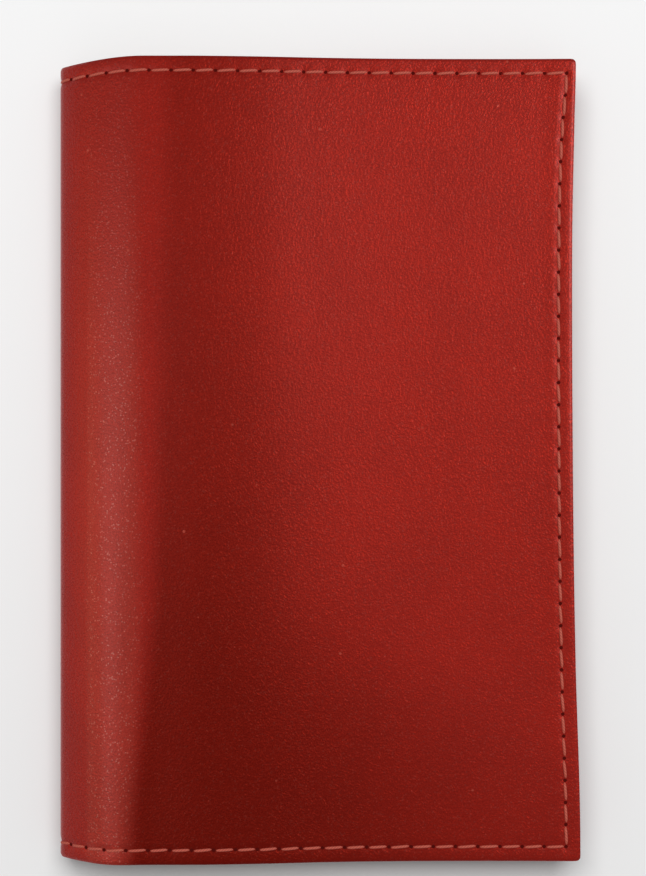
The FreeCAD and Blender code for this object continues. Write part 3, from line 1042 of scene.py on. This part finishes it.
class COVER_OT_leaves(bpy.types.Operator):
    """Gather the notebook's leaves, folded and stapled at the spine"""

    bl_idname = "cover.leaves"
    bl_label = "Leaves"

    def execute(self, context):
        rng = random.Random(5)
        for way, name, node in ((1, "leaves_front", "front_pages"), (-1, "leaves_back", "back_pages")):
            bm = bmesh.new()
            for i in range(LEAVES):
                self.leaf(bm, way, i, rng)
            piece = finish_mesh(name, bm, LEAF_FINISHES)
            bend(piece, way, [node], (FRONT_PAGE_BEND, BACK_PAGE_BEND))
        bm = bmesh.new()
        for i in range(LEAVES):
            self.folded(bm, i)
        piece = finish_mesh("leaves_fold", bm, LEAF_FINISHES)
        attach(piece, "spine")
        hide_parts("notebook_fold")
        return {"FINISHED"}

    def leaf(self, bm, way, i, rng):
        """One leaf of a half, cut a hair longer or shorter than the next."""
        trim = rng.uniform(-0.05, 0.05)
        across = stations(FOLD_CENTRE, (13.0, 0.4), (SLEEVE_MOUTH - 16, 4.0),
                          (SLEEVE_MOUTH + 2, 1.5), (BOOK_FORE_EDGE - 0.3 + trim, 6.0))
        rows = [-BOOK_HALF + rng.uniform(-0.03, 0.03), 0.0, BOOK_HALF + rng.uniform(-0.03, 0.03)]
        leaf = slab(across, rows)

        def place(u, y, layer):
            low, high = (page_middle(u), page_high(u)) if way > 0 else (page_low(u), page_middle(u))
            share = (i + 0.08 + 0.84 * layer) / LEAVES
            return in_frame(u, y, low + (high - low) * share)

        shape_slab(leaf, across, rows, SKIN, place)
        join(bm, leaf)

    def folded(self, bm, i):
        """One sheet's bend round the spine, as a half ring."""
        bundle = FOLD_CENTRE - BOOK_SPINE - CARD - AIR
        outer = bundle * (1 - i / LEAVES)
        inner = outer - bundle / LEAVES * 0.9
        turns = stations(-90.0, (90.0, 12.0))
        rows = [-BOOK_HALF, 0.0, BOOK_HALF]
        sheet = slab(turns, rows)

        def place(turn, y, layer):
            radius = inner if layer else outer
            angle = math.radians(turn)
            return in_frame(FOLD_CENTRE - radius * math.cos(angle), y, PAGE_MIDDLE + radius * math.sin(angle))

        shape_slab(sheet, turns, rows, SKIN, place)
        join(bm, sheet)


def join(bm, other):
    """Adds another bmesh to bm and frees it."""
    mesh = bpy.data.meshes.new("part")
    other.to_mesh(mesh)
    other.free()
    bm.from_mesh(mesh)
    bpy.data.meshes.remove(mesh)


class COVER_OT_card(bpy.types.Operator):
    """Fold the notebook's card cover round its leaves and into the sleeves"""

    bl_idname = "cover.card"
    bl_label = "Card Cover"

    def execute(self, context):
        path = rounded(
            [(BOOK_FORE_EDGE, LINING_FACE + 0.02), (BOOK_SPINE, LINING_FACE + 0.02),
             (BOOK_SPINE, BOOK_SPINE_TOP), (SLEEVE_MOUTH, front_inside(SLEEVE_MOUTH, LINING_FACE)),
             (BOOK_FORE_EDGE, front_inside(BOOK_FORE_EDGE, LINING_FACE))],
            [CARD_CORNER, CARD_CORNER, CARD_KNEE_RADIUS])
        total = sum(length_of(p) for p in path)
        middle = length_of(path[0]) + length_of(path[1]) + 0.2
        for way, name, nodes in ((1, "card_front", ["notebook_front_card", "notebook_spine_card"]),
                                 (-1, "card_back", ["notebook_back_card"])):
            end = total - middle if way > 0 else middle
            across = [way * v for v in stations(0.0, (14.0, 0.4), (end, 2.0))]
            rows = stations(-BOOK_HALF, (BOOK_HALF, 10.0))
            bm = slab(across, rows)

            def place(s, y, layer):
                (u, z), heading = walk(path, s + middle)
                if s > 0 and u > SLEEVE_MOUTH - 20:
                    share = smooth((u - SLEEVE_MOUTH + 20) / 20)
                    z = z * (1 - share) + front_inside(u, LINING_FACE) * share
                u, z = polar((u, z), CARD * layer, heading - math.pi / 2)
                return in_frame(u, y, z)

            shape_slab(bm, across, rows, SKIN, place)
            piece = finish_mesh(name, bm, ["kraft_card"])
            bend(piece, way, nodes)
        return {"FINISHED"}


class COVER_OT_staples(bpy.types.Operator):
    """Give the staples' wire its finish"""

    bl_idname = "cover.staples"
    bl_label = "Staples"

    def execute(self, context):
        wire = material("staple_wire")
        for name in ("staple_head", "staple_tail"):
            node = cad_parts[name]
            node.data.materials.clear()
            node.data.materials.append(wire)
        return {"FINISHED"}


class COVER_PT_panel(bpy.types.Panel):
    """Lists the cover's settings and the buttons that build its pieces"""

    bl_idname = "COVER_PT_panel"
    bl_label = "Notebook Cover"
    bl_space_type = "VIEW_3D"
    bl_region_type = "UI"
    bl_category = "Notebook Cover"

    def draw(self, context):
        layout = self.layout
        for group in (context.scene.cover_sizes, context.scene.cover_finish, context.scene.studio):
            box = layout.box()
            for name in group.__annotations__:
                box.prop(group, name)
        for operator in OPERATORS:
            layout.operator(operator.bl_idname)


GROUPS = {"cover_sizes": CoverSizes, "cover_finish": CoverFinish, "studio": StudioSettings}
OPERATORS = (
    COVER_OT_stage, COVER_OT_hide, COVER_OT_lining, COVER_OT_sleeves, COVER_OT_seam,
    COVER_OT_leaves, COVER_OT_card, COVER_OT_staples,
)


def register():
    for group in GROUPS.values():
        bpy.utils.register_class(group)
    for name, group in GROUPS.items():
        setattr(bpy.types.Scene, name, PointerProperty(type=group))
    for operator in OPERATORS:
        bpy.utils.register_class(operator)
    bpy.utils.register_class(COVER_PT_panel)


def unregister():
    bpy.utils.unregister_class(COVER_PT_panel)
    for operator in reversed(OPERATORS):
        bpy.utils.unregister_class(operator)
    for name, group in GROUPS.items():
        delattr(bpy.types.Scene, name)
        bpy.utils.unregister_class(group)


def main():
    register()
    bpy.ops.cover.stage()
    bpy.ops.cover.hide()
    bpy.ops.cover.lining()
    bpy.ops.cover.sleeves()
    bpy.ops.cover.seam()
    bpy.ops.cover.leaves()
    bpy.ops.cover.card()
    bpy.ops.cover.staples()


if __name__ == "__main__":
    main()
